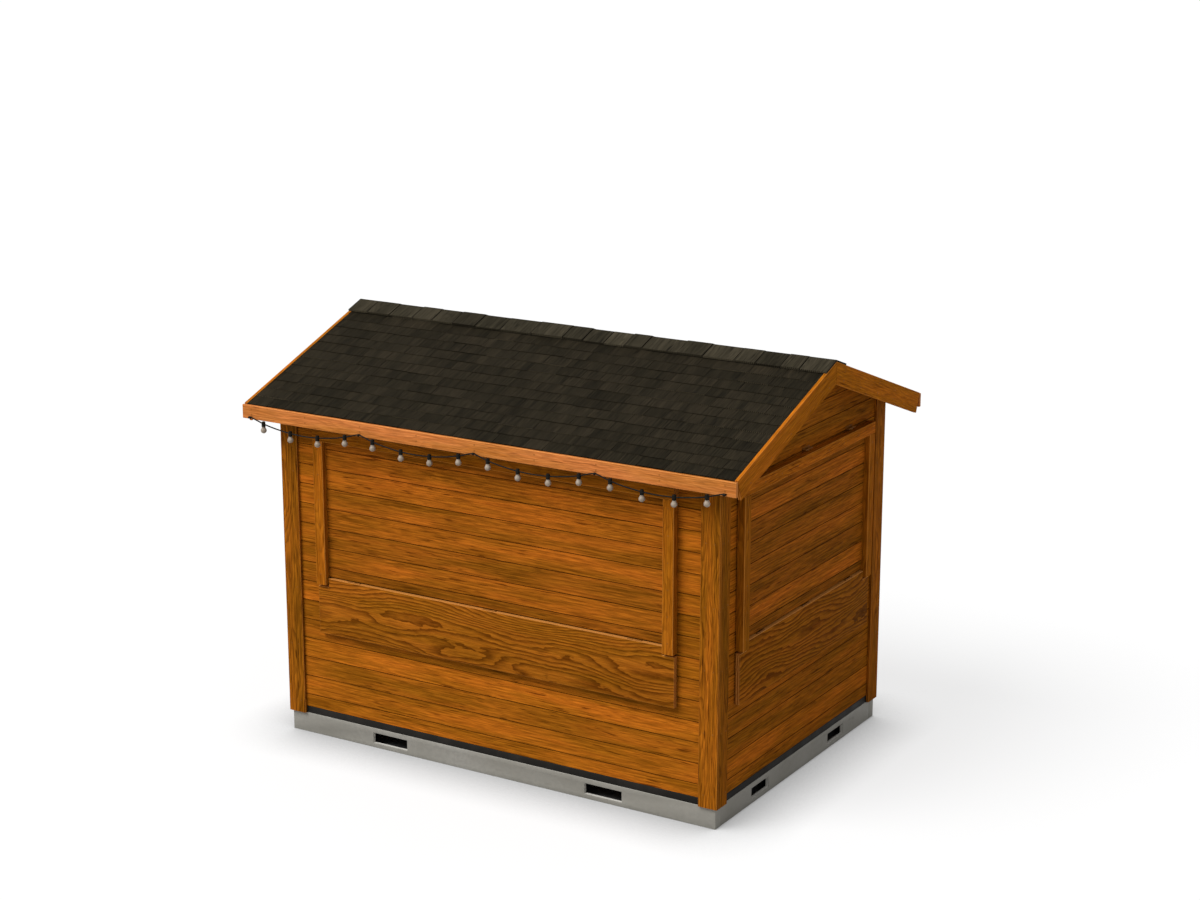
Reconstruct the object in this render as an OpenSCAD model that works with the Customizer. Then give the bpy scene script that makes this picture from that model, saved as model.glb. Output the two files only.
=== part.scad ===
// Wooden market stall: a board-built hut on a steel base with top-hung serving
// hatches, fold-down counters, a side door and a two-panel pitched roof that lifts
// off. Millimetres, +Z up, front towards -Y, origin on the ground under the middle.

/* [Overall] */
// Width across the corner trims
body_w = 3000; // [2600:10:3600]
// Depth across the corner trims
body_d = 2084; // [1900:10:2400]
// Height of the wall tops above the ground
wall_top = 2088; // [1950:1:2400]
// Pitch of the roof and gables in degrees
roof_pitch = 19.8; // [15:0.1:25]

/* [Base] */
// Height of the steel base
base_h = 124; // [110:1:160]
// Distance of the steel inside the faces of the corner trims
base_inset = 16; // [8:1:18]
// Width of a channel's flanges
channel_w = 62; // [55:1:90]
// Thickness of the channel steel
channel_t = 5; // [3:0.5:8]
// Width of a fork pocket in a long channel
fork_front_w = 250; // [200:5:300]
// Width of a fork pocket in a cross channel
fork_side_w = 212; // [180:2:300]
// Height of a fork pocket
fork_h = 65; // [40:1:68]
// Height of the pocket's underside above the ground
fork_z = 28; // [20:1:45]
// Distance of the front pockets from the middle
fork_front_x = 750; // [500:5:900]
// Distance of the side pockets from the middle
fork_side_y = 490; // [350:5:600]
// Depth of a pocket's sleeve behind the face of the steel
fork_sleeve = 22; // [15:1:50]
// Width of a floor bearer
bearer_w = 60; // [40:1:100]
// Depth of a floor bearer
bearer_h = 28; // [20:1:30]
// Wall thickness of a floor bearer
bearer_t = 3; // [2:0.5:5]
// Distance between floor bearers
bearer_pitch = 500; // [400:10:600]
// Thickness of the floor boards
floor_t = 26; // [18:1:40]

/* [Walls] */
// Thickness of the wall boards
wall_t = 44; // [34:1:60]
// Height of the black sill strip between steel and boards
strip_h = 43; // [30:1:60]
// Thickness of the corner trims
trim_t = 18; // [12:1:25]
// Width of each leg of a corner trim
trim_w = 120; // [90:1:150]
// Height of the top rail on the front and rear walls
top_rail_h = 100; // [80:1:110]

/* [Hatches] */
// Distance from a corner trim to the front hatch frame
front_hatch_in = 148; // [60:1:500]
// Distance from a corner trim to the right hatch frame
right_hatch_in = 97; // [60:1:300]
// Distance from a corner trim to the rear hatch frame
rear_hatch_in = 671; // [60:1:800]
// Height of the hatch frame's top edge
hatch_top = 1955; // [1850:1:1960]
// Height of the opening's sill
hatch_sill = 1036; // [950:1:1050]
// Distance that a hatch frame laps over the wall round its opening
hatch_lap = 36; // [25:1:50]
// Width of a hatch stile and of the head rail over the stiles
stile_w = 70; // [60:1:100]
// Thickness of the hatch frame
frame_t = 50; // [40:1:60]
// Distance that the boards of a hung hatch stand in front of the wall
panel_out = 19; // [10:1:21]
// Thickness of the hatch and door boards
panel_t = 27; // [20:1:35]

/* [Counters] */
// Distance of the counter's hinged top edge below the sill
counter_drop = 2; // [1:1:6]
// Height of the counter's tongue between the stiles
tongue_h = 54; // [48:1:100]
// Height of the counter below its tongue
counter_h = 300; // [200:1:420]
// Thickness of the counter
counter_t = 30; // [30:1:45]
// Distance of the hinge axis in front of the counter's back
counter_axis_in = 20; // [18:1:22]

/* [Door] */
// Width of the door opening
door_w = 720; // [650:1:900]
// Height of the top of the door opening
door_top = 1930; // [1850:1:1960]
// Width of the door lining's jambs
jamb_w = 33; // [25:1:60]
// Height of the door lining's head
head_h = 65; // [40:1:90]
// Thickness of the door lining
lining_t = 20; // [15:1:30]
// Height of a ledge on the door's inner face
ledge_h = 100; // [70:1:140]
// Thickness of a ledge
ledge_t = 25; // [18:1:35]

/* [Roof] */
// Distance from the corner trims to the eave fascia's outer face
eave_out = 140; // [80:1:200]
// Distance from the corner trims to the barge board's outer face
verge_out = 167; // [80:1:250]
// Thickness of the roof boards
deck_t = 19; // [15:1:30]
// Thickness of the shingle layer
shingle_t = 10; // [6:1:15]
// Height of the wooden edges above the shingles
edge_lip = 3; // [1:0.5:8]
// Height of the eave fascia
fascia_h = 83; // [70:1:110]
// Thickness of the fascia and barge boards
edge_board_t = 20; // [15:1:30]
// Depth of a barge board
barge_h = 125; // [100:1:180]
// Width of one side of the ridge cap
cap_w = 115; // [80:1:180]
// Thickness of the ridge cap
cap_t = 14; // [8:1:20]
// Width of a roof batten
batten_w = 45; // [30:1:60]
// Depth of a roof batten
batten_h = 27; // [20:1:40]

/* [Shelf] */
// Length of the corner shelf
shelf_w = 608; // [400:2:800]
// Depth of the corner shelf
shelf_d = 210; // [150:2:300]
// Height of the shelf's upper face
shelf_top = 1630; // [1200:5:1700]
// Thickness of the shelf
shelf_t = 25; // [18:1:35]

/* [Lights] */
// Diameter of the light cord
cord_d = 8; // [6:1:10]
// Radius of a lamp holder
holder_r = 12; // [10:0.5:14]
// Radius of a lamp bulb
bulb_r = 19.5; // [15:0.5:22]

/* [Hidden] */
$fn = 48;

// Colours of the materials
pine = "#9a5a1c";
pine_shade = "#8a4c16";
pine_bright = "#b86a30";
steel = "#86827a";
black_strip = "#2c2a26";
slate = "#2f2c25";
lamp_white = "#b8b2aa";

// Clearances and joints
overrun = 10;
leaf_gap = 6;
face_gap = 5;
seat_gap = 0.3;
joint_gap = 0.5;

// Planes of the walls
face_x = body_w / 2 - trim_t;
face_y = body_d / 2 - trim_t;
inner_x = face_x - wall_t;
inner_y = face_y - wall_t;
steel_x = body_w / 2 - base_inset;
steel_y = body_d / 2 - base_inset;
sill_top = base_h + strip_h;
opening_top = hatch_top - hatch_lap;
front_hatch_w = body_w - 2 * (trim_w + front_hatch_in);
right_hatch_w = body_d - 2 * (trim_w + right_hatch_in);
rear_hatch_w = body_w - 2 * (trim_w + rear_hatch_in);
front_open_w = front_hatch_w - 2 * hatch_lap;
right_open_w = right_hatch_w - 2 * hatch_lap;
rear_open_w = rear_hatch_w - 2 * hatch_lap;
hung_back = -face_gap;

// Hinges: a fixed plate carries a pin between two knuckles, and a third knuckle
// on the leaf turns about the pin
pin_r = 3;
knuckle_r = 5;
hinge_l = 90;
knuckle_l = 28;
plate_t = 3;
plate_h = 16;
web_t = 4;
hinge_inset = 260;
hatch_axis_y = -20.5;
hatch_axis_up = 12;
hatch_axis_z = hatch_top + hatch_axis_up;
hatch_plate_z = hatch_axis_z - web_t;
counter_back = 6;
counter_top = hatch_sill - counter_drop;
counter_shoulder = counter_top - tongue_h;
counter_bottom = counter_shoulder - counter_h;
counter_axis_y = -counter_back - counter_axis_in;
counter_axis_z = counter_top;
counter_plate_z = counter_axis_z + web_t / 2 - plate_h;
swing_r = tongue_h + joint_gap - leaf_gap;
stile_reach = face_gap + frame_t + counter_axis_y;
hung_low = counter_axis_z - sqrt(swing_r * swing_r - stile_reach * stile_reach);
panel_low = hatch_sill + leaf_gap;
fixed_low = hatch_sill - hatch_lap;
housing_gap = 1.5;
door_axis_y = -6;
door_axis_in = 3;
door_axis_x = door_axis_in - door_w / 2;
door_strap_l = 120;
door_hinge_rise = 250;
door_plate_l = 40;
door_plate_back = -door_axis_y - plate_t;

// Door pull
pull_r = 8;
pull_l = 160;
pull_out = 45;
pull_in = 55;
pull_z = 1050;

// Roof planes: the underside of the boards rests on the gables
slope = tan(roof_pitch);
ridge_z = wall_top + slope * body_d / 2 + seat_gap;
deck_v = deck_t / cos(roof_pitch);
shingle_v = shingle_t / cos(roof_pitch);
edge_v = (shingle_t + edge_lip) / cos(roof_pitch);
barge_v = barge_h / cos(roof_pitch);
batten_v = batten_h / cos(roof_pitch);
cap_v = cap_t / cos(roof_pitch);
roof_x = body_w / 2 + verge_out;
eave_y = body_d / 2 + eave_out;
deck_x = roof_x - edge_board_t;
deck_y = eave_y - edge_board_t;
ridge_gap = 2;
ridge_bare = 40;
fascia_top = ridge_z - slope * eave_y + deck_v + edge_v;
batten_count = 4;
batten_edge = 60;
batten_clear = 12;

// Light cord: clips along the fascia and the drop of the cord along one swag
swags = 4;
swag_span = 800;
clip_up = 13;
clip_wall = 3;
clip_l = 10;
clip_cap = 6;
clip_slack = 0.4;
cord_out = 14;
cord_sides = 8;
clip_z = fascia_top - fascia_h + clip_up;
cord_y = -(eave_y + cord_out);
swag_points = [[0, 0], [15, -1], [30, -5], [60, -14], [100, -26], [160, -39], [230, -50],
    [300, -58], [350, -61], [400, -62], [450, -61], [500, -58], [570, -50], [640, -39],
    [700, -26], [740, -14], [770, -5], [785, -1]];
lamp_places = [[100, -26], [300, -58], [500, -58], [700, -26]];
holder_up = 14;
holder_down = 16;
bulb_neck_r = 10;
bulb_neck_h = 6;
bulb_drop = 22;

// Places a child that is drawn on the front wall's outer face on each wall
module on_front() { translate([0, -face_y, 0]) children(); }
module on_right() { translate([face_x, 0, 0]) rotate([0, 0, 90]) children(); }
module on_rear() { translate([0, face_y, 0]) rotate([0, 0, 180]) children(); }
module on_left() { translate([-face_x, 0, 0]) rotate([0, 0, -90]) children(); }

// A block between two corners
module block(low, high) { translate(low) cube(high - low); }

// A copy on each side of the middle
module both_sides() { children(); mirror([1, 0, 0]) children(); }
module both_faces() { children(); mirror([0, 1, 0]) children(); }

// A channel on the Y side of the base, open towards the middle, with sleeved fork pockets.
// Its ends are closed where end_t is the thickness of end plates, and open where it is negative
module channel(half_l, out, pocket_x, pocket_w, end_t) {
    half_w = pocket_w / 2;
    hollow_l = half_l - end_t;
    difference() {
        union() {
            difference() {
                block([-half_l, -out, 0], [half_l, channel_w - out, base_h]);
                block([-hollow_l, channel_t - out, channel_t],
                    [hollow_l, channel_w - out + overrun, base_h - channel_t]);
            }
            both_sides() block([pocket_x - half_w - channel_t, -out, fork_z - channel_t],
                [pocket_x + half_w + channel_t, fork_sleeve - out, fork_z + fork_h + channel_t]);
        }
        both_sides() block([pocket_x - half_w, -out - overrun, fork_z],
            [pocket_x + half_w, fork_sleeve - out + overrun, fork_z + fork_h]);
    }
}

module long_rails() {
    color(steel) both_faces() channel(steel_x, steel_y, fork_front_x, fork_front_w, channel_t);
}

module cross_rails() {
    half_l = steel_y - channel_w;
    color(steel) both_sides() rotate([0, 0, 90])
        channel(half_l, steel_x, fork_side_y, fork_side_w, -overrun);
}

module floor_bearers() {
    half_l = steel_y - channel_w;
    count = floor((inner_x - bearer_w) / bearer_pitch);
    half_w = bearer_w / 2;
    color(steel) for (i = [-count : count]) translate([i * bearer_pitch, 0, base_h - bearer_h])
        difference() {
            block([-half_w, -half_l, 0], [half_w, half_l, bearer_h]);
            block([bearer_t - half_w, -half_l - overrun, bearer_t],
                [half_w - bearer_t, half_l + overrun, bearer_h - bearer_t]);
        }
}

module floor() {
    color(pine_shade) block([-inner_x, -inner_y, base_h], [inner_x, inner_y, base_h + floor_t]);
}

module sill_strips() {
    color(black_strip) {
        both_faces() block([-face_x, -face_y, base_h], [face_x, -inner_y, sill_top]);
        both_sides() block([inner_x, joint_gap - inner_y, base_h], [face_x, inner_y - joint_gap, sill_top]);
    }
}

module corner_post() {
    difference() {
        block([body_w / 2 - trim_w, -body_d / 2, base_h], [body_w / 2, trim_w - body_d / 2, wall_top]);
        block([body_w / 2 - trim_w - overrun, -face_y, base_h - overrun],
            [face_x, trim_w - body_d / 2 + overrun, wall_top + overrun]);
    }
}

module corner_posts() { color(pine) both_faces() both_sides() corner_post(); }

// Wall pieces round an opening, drawn on the front wall's outer face
module wall_sides(open_w, half_l, top) {
    both_sides() block([open_w / 2, 0, sill_top], [half_l, wall_t, top]);
}
module wall_below(open_w) {
    block([-open_w / 2, 0, sill_top], [open_w / 2, wall_t, hatch_sill]);
}
module wall_above(open_w) {
    block([-open_w / 2, 0, opening_top], [open_w / 2, wall_t, wall_top]);
}

module front_wall_sides() { color(pine) on_front() wall_sides(front_open_w, face_x, wall_top); }
module front_wall_below() { color(pine) on_front() wall_below(front_open_w); }
module front_wall_above() { color(pine) on_front() wall_above(front_open_w); }
module rear_wall_sides() { color(pine) on_rear() wall_sides(rear_open_w, face_x, wall_top); }
module rear_wall_below() { color(pine) on_rear() wall_below(rear_open_w); }
module rear_wall_above() { color(pine) on_rear() wall_above(rear_open_w); }

module top_rails() {
    half_l = body_w / 2 - trim_w;
    color(pine) both_faces()
        block([-half_l, -body_d / 2, wall_top - top_rail_h], [half_l, -face_y, wall_top]);
}

module right_wall_sides() { color(pine) on_right() wall_sides(right_open_w, inner_y, opening_top); }
module right_wall_below() { color(pine) on_right() wall_below(right_open_w); }
module left_wall_sides() { color(pine) on_left() wall_sides(door_w, inner_y, door_top); }

// A gable above an opening: its top follows the roof slope to the ridge
module gable(low) {
    shoulder = wall_top + slope * (body_d / 2 - inner_y);
    peak = wall_top + slope * body_d / 2;
    translate([0, wall_t, 0]) rotate([90, 0, 0]) linear_extrude(wall_t)
        polygon([[-inner_y, low], [inner_y, low], [inner_y, shoulder], [0, peak], [-inner_y, shoulder]]);
}

module right_gable() { color(pine) on_right() gable(opening_top); }
module left_gable() { color(pine) on_left() gable(door_top); }

module door_lining() {
    color(pine_shade) on_left() {
        both_sides() block([door_w / 2, wall_t, base_h + floor_t],
            [door_w / 2 + jamb_w, wall_t + lining_t, door_top - joint_gap]);
        block([-door_w / 2 - jamb_w, wall_t, door_top],
            [door_w / 2 + jamb_w, wall_t + lining_t, door_top + head_h]);
    }
}

module corner_shelf() {
    color(pine_shade) block([-inner_x, inner_y - shelf_d, shelf_top - shelf_t],
        [shelf_w - inner_x, inner_y, shelf_top]);
}

// A round bar along X about an axis point
module bar_x(x0, x1, y, z, r) {
    translate([x0, y, z]) rotate([0, 90, 0]) cylinder(h = x1 - x0, r = r);
}

// The fixed half of a hinge whose plate lies on the wall face above or below its axis
module fixed_hinge(axis_y, axis_z, plate_low) {
    both_sides() {
        bar_x(knuckle_l / 2 + joint_gap, hinge_l / 2, axis_y, axis_z, knuckle_r);
        block([knuckle_l / 2 + joint_gap, axis_y, axis_z - web_t / 2], [hinge_l / 2, 0, axis_z + web_t / 2]);
    }
    bar_x(-hinge_l / 2, hinge_l / 2, axis_y, axis_z, pin_r);
    block([-hinge_l / 2, -plate_t, plate_low], [hinge_l / 2, 0, plate_low + plate_h]);
}

// The turning knuckle of a hinge, with a web to the leaf
module turning_knuckle(axis_y, axis_z, web_low, web_high) {
    difference() {
        union() {
            bar_x(-knuckle_l / 2, knuckle_l / 2, axis_y, axis_z, knuckle_r);
            block(web_low, web_high);
        }
        bar_x(-knuckle_l / 2 - overrun, knuckle_l / 2 + overrun, axis_y, axis_z, pin_r + seat_gap);
    }
}

// A row of three hinges along a leaf
module hinge_row(leaf_w) {
    reach = leaf_w / 2 - hinge_inset;
    for (x = [-reach, 0, reach]) translate([x, 0, 0]) children();
}

module door_hinge_places() {
    span = door_top - sill_top;
    for (z = [sill_top + door_hinge_rise, sill_top + span / 2, door_top - door_hinge_rise])
        translate([door_axis_x, door_axis_y, z]) children();
}

// The fixed half of a door hinge: knuckles and pin about a vertical axis
module door_pin() {
    for (z = [knuckle_l / 2 + joint_gap, -hinge_l / 2]) {
        translate([0, 0, z]) cylinder(h = hinge_l / 2 - knuckle_l / 2 - joint_gap, r = knuckle_r);
        block([-door_plate_l, door_plate_back, z],
            [0, -door_axis_y, z + hinge_l / 2 - knuckle_l / 2 - joint_gap]);
    }
    translate([0, 0, -hinge_l / 2]) cylinder(h = hinge_l, r = pin_r);
}

// The turning half of a door hinge: a strap along the door's outer face
module door_strap() {
    difference() {
        union() {
            translate([0, 0, -knuckle_l / 2]) cylinder(h = knuckle_l, r = knuckle_r);
            block([0, door_plate_back, -knuckle_l / 2], [door_strap_l, -door_axis_y, knuckle_l / 2]);
        }
        translate([0, 0, -knuckle_l / 2 - overrun])
            cylinder(h = knuckle_l + 2 * overrun, r = pin_r + seat_gap);
    }
}

module hinge_plates() {
    color(steel) {
        on_front() hinge_row(front_hatch_w) fixed_hinge(hatch_axis_y, hatch_axis_z, hatch_plate_z);
        on_right() hinge_row(right_hatch_w) fixed_hinge(hatch_axis_y, hatch_axis_z, hatch_plate_z);
        on_front() hinge_row(front_hatch_w) fixed_hinge(counter_axis_y, counter_axis_z, counter_plate_z);
        on_right() hinge_row(right_hatch_w) fixed_hinge(counter_axis_y, counter_axis_z, counter_plate_z);
        on_left() door_hinge_places() door_pin();
    }
}

// A hatch: a frame on the wall's face with its head rail over the stiles, and boards
// held between the stiles. A hung hatch stands clear of the wall and its stiles run
// down beside the counter; a fixed one lies on the wall and has a rail at the bottom
module hatch_boards(frame_w, back, low) {
    half_w = frame_w / 2 - stile_w - joint_gap;
    front = back + face_gap - panel_out;
    block([-half_w, front, low], [half_w, front + panel_t, hatch_top - stile_w - joint_gap]);
}
module hatch_frame(frame_w, back, stile_low) {
    rail_low = hatch_top - stile_w;
    both_sides() block([frame_w / 2 - stile_w, back - frame_t, stile_low],
        [frame_w / 2, back, rail_low - joint_gap]);
    block([-frame_w / 2, back - frame_t, rail_low], [frame_w / 2, back, hatch_top]);
}
module bottom_rail(frame_w, back, low) {
    rail_half = frame_w / 2 - stile_w - joint_gap;
    block([-rail_half, back - frame_t, low], [rail_half, back, low + stile_w]);
}
module hatch_knuckles(frame_w) {
    hinge_row(frame_w) turning_knuckle(hatch_axis_y, hatch_axis_z,
        [-knuckle_l / 2, hatch_axis_y - web_t / 2, hatch_top],
        [knuckle_l / 2, hatch_axis_y + web_t / 2, hatch_axis_z]);
}

module front_hatch_boards() { color(pine) on_front() hatch_boards(front_hatch_w, hung_back, panel_low); }
module front_hatch_frame() { color(pine_bright) on_front() hatch_frame(front_hatch_w, hung_back, hung_low); }
module front_hatch_hinges() { color(steel) on_front() hatch_knuckles(front_hatch_w); }
module right_hatch_boards() { color(pine) on_right() hatch_boards(right_hatch_w, hung_back, panel_low); }
module right_hatch_frame() { color(pine_bright) on_right() hatch_frame(right_hatch_w, hung_back, hung_low); }
module right_hatch_hinges() { color(steel) on_right() hatch_knuckles(right_hatch_w); }
module rear_hatch_boards() {
    color(pine) on_rear() hatch_boards(rear_hatch_w, 0, fixed_low + stile_w + joint_gap);
}
module rear_hatch_frame() {
    color(pine_bright) on_rear() {
        hatch_frame(rear_hatch_w, 0, fixed_low);
        bottom_rail(rear_hatch_w, 0, fixed_low);
    }
}

// A counter: a full-width board below and a tongue that stands between the stiles,
// housed at its upper back edge for the hinges
module counter_leaf(frame_w) {
    tongue_half = frame_w / 2 - stile_w - leaf_gap;
    back = -counter_back;
    front = back - counter_t;
    housing = knuckle_r + housing_gap;
    block([-frame_w / 2, front, counter_bottom], [frame_w / 2, back, counter_shoulder - joint_gap]);
    difference() {
        block([-tongue_half, front, counter_shoulder], [tongue_half, back, counter_top]);
        hinge_row(frame_w)
            block([-hinge_l / 2 - housing_gap, counter_axis_y - housing, counter_plate_z - housing_gap],
                [hinge_l / 2 + housing_gap, back + overrun, counter_top + overrun]);
    }
}
module counter_knuckles(frame_w) {
    housing = knuckle_r + housing_gap;
    hinge_row(frame_w) turning_knuckle(counter_axis_y, counter_axis_z,
        [-knuckle_l / 2, counter_axis_y - housing, counter_axis_z - knuckle_r],
        [knuckle_l / 2, counter_axis_y, counter_axis_z]);
}

module front_counter_leaf() { color(pine_bright) on_front() counter_leaf(front_hatch_w); }
module front_counter_hinges() { color(steel) on_front() counter_knuckles(front_hatch_w); }
module right_counter_leaf() { color(pine_bright) on_right() counter_leaf(right_hatch_w); }
module right_counter_hinges() { color(steel) on_right() counter_knuckles(right_hatch_w); }

module door_leaf() {
    half_w = door_w / 2 - leaf_gap;
    ledge_half = half_w - jamb_w;
    low = sill_top + leaf_gap;
    high = door_top - leaf_gap;
    color(pine) on_left() {
        block([-half_w, 0, low], [half_w, panel_t, high]);
        for (z = [low + ledge_h, (low + high - ledge_h) / 2, high - 2 * ledge_h])
            block([-ledge_half, panel_t, z], [ledge_half, panel_t + ledge_t, z + ledge_h]);
    }
}

module door_hinges() { color(steel) on_left() door_hinge_places() door_strap(); }

module door_handle() {
    x = door_w / 2 - leaf_gap - pull_in;
    color(steel) on_left() translate([x, 0, pull_z]) {
        translate([0, -pull_out, -pull_l / 2]) cylinder(h = pull_l, r = pull_r);
        for (z = [-pull_l / 2 + 2 * pull_r, pull_l / 2 - 2 * pull_r])
            translate([0, 0, z]) rotate([90, 0, 0]) cylinder(h = pull_out, r = pull_r);
    }
}

// A prism along X whose section hangs from the roof slope of the front side:
// y_in and y_out are distances from the ridge, low and high are measured plumb
// from the underside of the roof boards
module slope_prism(x0, x1, y_in, y_out, low, high) {
    inner = ridge_z - slope * y_in;
    outer = ridge_z - slope * y_out;
    translate([x0, 0, 0]) rotate([90, 0, 90]) linear_extrude(x1 - x0)
        polygon([[-y_out, outer + low], [-y_in, inner + low], [-y_in, inner + high], [-y_out, outer + high]]);
}

module deck() { slope_prism(-deck_x, deck_x, ridge_gap, deck_y, 0, deck_v); }
module front_deck() { color(pine_shade) deck(); }
module rear_deck() { color(pine_shade) mirror([0, 1, 0]) deck(); }

module roof_battens() {
    reach = inner_x - batten_edge - batten_w;
    color(pine_shade) both_faces() {
        slope_prism(-inner_x + batten_edge, inner_x - batten_edge, batten_clear, batten_clear + batten_w,
            -batten_v, -seat_gap);
        for (i = [0 : batten_count - 1]) {
            x = -reach + i * 2 * reach / (batten_count - 1);
            slope_prism(x - batten_w / 2, x + batten_w / 2, 2 * batten_clear + batten_w,
                inner_y - batten_clear, -batten_v, -seat_gap);
        }
    }
}

module eave_fascias() {
    color(pine_bright) both_faces()
        block([-roof_x, -eave_y, fascia_top - fascia_h], [roof_x, -deck_y, fascia_top]);
}

// A barge board, plumb at the ridge and cut square behind the fascia
module barge_board() {
    top = ridge_z + deck_v + edge_v;
    eave_top = top - slope * deck_y;
    ridge_top = top - slope * ridge_gap;
    translate([deck_x, 0, 0]) rotate([90, 0, 90]) linear_extrude(edge_board_t)
        polygon([[-deck_y, eave_top],
            [barge_h * sin(roof_pitch) - deck_y, eave_top - barge_h * cos(roof_pitch)],
            [-ridge_gap, ridge_top - barge_v], [-ridge_gap, ridge_top]]);
}

module barge_boards() { color(pine_bright) both_faces() both_sides() barge_board(); }

module shingles() { slope_prism(-deck_x, deck_x, ridge_bare, deck_y, deck_v, deck_v + shingle_v); }
module front_shingles() { color(slate) shingles(); }
module rear_shingles() { color(slate) mirror([0, 1, 0]) shingles(); }

module ridge_cap() {
    low = ridge_z + deck_v + edge_v;
    drop = slope * cap_w;
    color(slate) translate([-roof_x, 0, 0]) rotate([90, 0, 90]) linear_extrude(2 * roof_x)
        polygon([[-cap_w, low - drop], [0, low], [cap_w, low - drop],
            [cap_w, low - drop + cap_v], [0, low + cap_v], [-cap_w, low - drop + cap_v]]);
}

// A clip round the light cord with a foot on the fascia; an end clip is closed
module cord_clip(x, end) {
    bore_r = cord_d / 2 + clip_slack;
    x0 = x - clip_l / 2 - (end < 0 ? clip_cap : 0);
    x1 = x + clip_l / 2 + (end > 0 ? clip_cap : 0);
    bore_0 = x - (end < 0 ? clip_l / 2 : clip_l);
    bore_1 = x + (end > 0 ? clip_l / 2 : clip_l);
    difference() {
        union() {
            bar_x(x0, x1, cord_y, clip_z, bore_r + clip_wall);
            block([x0, cord_y, clip_z - clip_wall], [x1, -eave_y, clip_z + clip_wall]);
        }
        bar_x(bore_0, bore_1, cord_y, clip_z, bore_r);
    }
}

module cord_clips() {
    half = swags * swag_span / 2;
    color(black_strip) {
        for (i = [1 : swags - 1]) cord_clip(i * swag_span - half, 0);
        cord_clip(-half, -1);
        cord_clip(half, 1);
    }
}

// The cord's route: one swag's points repeated from clip to clip
cord_route = concat([for (i = [0 : swags - 1]) for (p = swag_points) [i * swag_span + p[0], p[1]]],
    [[swags * swag_span, 0]]);

// Direction of the route in its plane at a point
function heading(i) =
    let(a = cord_route[max(i - 1, 0)], b = cord_route[min(i + 1, len(cord_route) - 1)])
    atan2(b[1] - a[1], b[0] - a[0]);

module light_cord() {
    count = len(cord_route);
    half = swags * swag_span / 2;
    ring_points = [for (i = [0 : count - 1]) for (k = [0 : cord_sides - 1])
        let(turn = 360 * k / cord_sides, up = cord_d / 2 * cos(turn), out = cord_d / 2 * sin(turn))
        [cord_route[i][0] - half - up * sin(heading(i)), cord_y + out,
            clip_z + cord_route[i][1] + up * cos(heading(i))]];
    sides = [for (i = [0 : count - 2]) for (k = [0 : cord_sides - 1])
        let(n = (k + 1) % cord_sides, a = i * cord_sides, b = a + cord_sides)
        [a + k, b + k, b + n, a + n]];
    start = [for (k = [0 : cord_sides - 1]) k];
    finish = [for (k = [cord_sides - 1 : -1 : 0]) (count - 1) * cord_sides + k];
    color(black_strip) polyhedron(ring_points, concat(sides, [start, finish]));
}

module at_lamps() {
    half = swags * swag_span / 2;
    for (i = [0 : swags - 1]) for (p = lamp_places)
        translate([i * swag_span + p[0] - half, cord_y, clip_z + p[1]]) children();
}

module lamp_holders() {
    color(black_strip) at_lamps()
        translate([0, 0, -holder_down]) cylinder(h = holder_up + holder_down, r = holder_r);
}

module lamp_bulbs() {
    color(lamp_white) at_lamps() translate([0, 0, -holder_down]) {
        translate([0, 0, -bulb_neck_h]) cylinder(h = bulb_neck_h, r = bulb_neck_r);
        translate([0, 0, -bulb_drop]) sphere(r = bulb_r);
    }
}

long_rails();
cross_rails();
floor_bearers();
floor();
sill_strips();
corner_posts();
front_wall_sides();
front_wall_below();
front_wall_above();
rear_wall_sides();
rear_wall_below();
rear_wall_above();
top_rails();
right_wall_sides();
right_wall_below();
right_gable();
left_wall_sides();
left_gable();
door_lining();
corner_shelf();
hinge_plates();
front_hatch_boards();
front_hatch_frame();
front_hatch_hinges();
right_hatch_boards();
right_hatch_frame();
right_hatch_hinges();
rear_hatch_boards();
rear_hatch_frame();
front_counter_leaf();
front_counter_hinges();
right_counter_leaf();
right_counter_hinges();
door_leaf();
door_hinges();
door_handle();
front_deck();
rear_deck();
roof_battens();
eave_fascias();
barge_boards();
front_shingles();
rear_shingles();
ridge_cap();
cord_clips();
light_cord();
lamp_holders();
lamp_bulbs();
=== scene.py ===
import math
import random
import bmesh
import bpy
from mathutils import Matrix, Vector


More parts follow.
